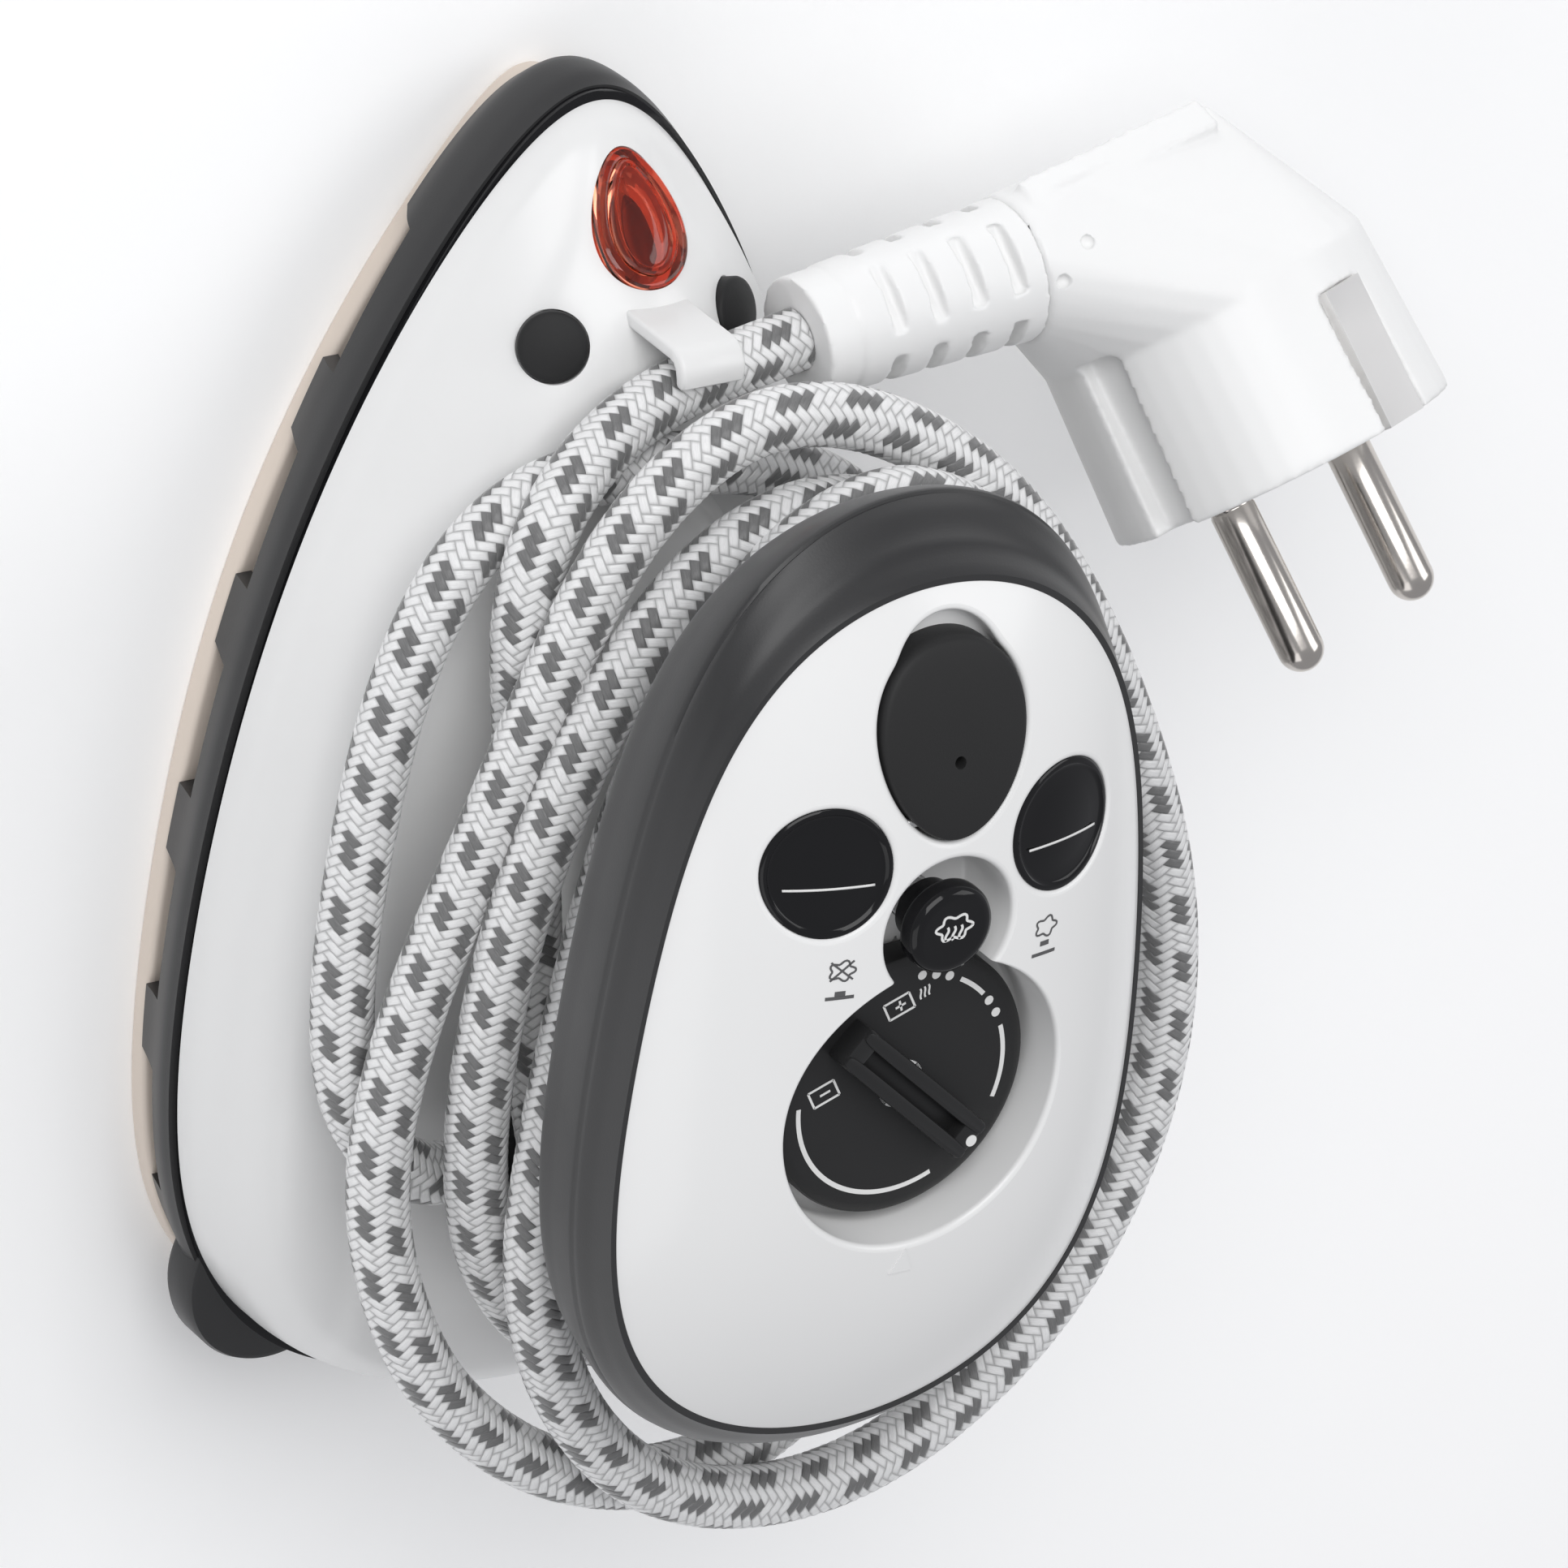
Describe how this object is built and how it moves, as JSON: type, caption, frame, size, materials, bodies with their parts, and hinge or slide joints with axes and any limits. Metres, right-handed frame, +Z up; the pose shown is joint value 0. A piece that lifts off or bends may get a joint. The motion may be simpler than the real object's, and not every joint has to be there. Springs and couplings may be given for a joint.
{
  "type": "compact travel steam iron",
  "caption": "Compact steam iron: pointed egg soleplate under a white body, palm disc with dial, steam knob and filler cap, braided cord wound round the neck, earthed plug.",
  "frame": {"origin": "middle of the soleplate's underside, on the surface it lies on", "axes": "+Z up from the sole to the palm disc, +Y towards the pointed nose, +X to the right seen from above with the nose away"},
  "size_m": [0.1232, 0.1452, 0.0879],
  "materials": {
    "ceramic_sole": "satin",
    "cast_metal": "satin",
    "steel": "satin",
    "seal": "matte",
    "skirt": "satin",
    "black_gloss": "gloss",
    "white_gloss": "gloss",
    "black_rubber": "matte",
    "lens": "gloss",
    "lamp": "gloss",
    "white_matte": "matte",
    "clear_plastic": "gloss",
    "nickel": "gloss",
    "wire": "satin",
    "braid": "matte",
    "ceramic_part": "matte"
  },
  "bodies": {
    "iron": {"sole_plate": "ceramic_sole", "heater_casting": "cast_metal", "heating_element": "steel", "chamber_seal": "seal", "chamber_lid": "cast_metal", "heat_skirt": "skirt", "skirt_seal": "black_gloss", "body_shell": "white_gloss", "screw_cap_left": "black_rubber", "screw_cap_right": "black_rubber", "case_screws": "steel", "sole_screws": "steel", "indicator_lens": "lens", "indicator_lamp": "lamp", "lamp_holder": "white_matte", "cord_hook": "white_gloss", "neck": "white_gloss", "water_pipe": "white_matte", "thermostat": "ceramic_part", "thermostat_bracket": "steel", "thermal_fuse": "steel", "terminal_block": "ceramic_part", "inner_wires": "wire", "cord_clamp": "black_rubber", "handle_base": "skirt", "water_tank": "clear_plastic", "tank_seal": "black_rubber", "drip_valve_seat": "seal", "grip_rim": "black_rubber", "top_cover": "white_gloss", "window_left": "black_gloss", "window_right": "black_gloss", "valve_spring": "steel", "filler_hinge_pin": "steel", "cord_relief": "black_rubber", "cord_coil": "braid", "cord_tail": "braid", "plug_relief": "white_matte", "plug_body": "white_matte", "plug_pins": "nickel", "earth_clips": "nickel"},
    "dial_group": {"dial": "skirt", "dial_shaft": "white_matte"},
    "steam_valve": {"steam_knob": "black_gloss", "valve_rod": "steel"},
    "filler_lid": {"filler_cap": "black_rubber"}
  },
  "joints": [
    {"name": "dial_turn", "type": "hinge", "parent": "iron", "child": "dial_group", "pos_m": [0, -0.0026, 0.08], "axis": [0, 0, 1], "range_deg": [-240, 60]},
    {"name": "steam_press", "type": "slide", "parent": "iron", "child": "steam_valve", "axis": [0, 0, 1], "range_m": [-0.0035, 0], "deforming": ["valve_spring"]},
    {"name": "filler_open", "type": "hinge", "parent": "iron", "child": "filler_lid", "pos_m": [0, 0.02874, 0.08533], "axis": [1, 0, 0], "range_deg": [0, 95]}
  ]
}
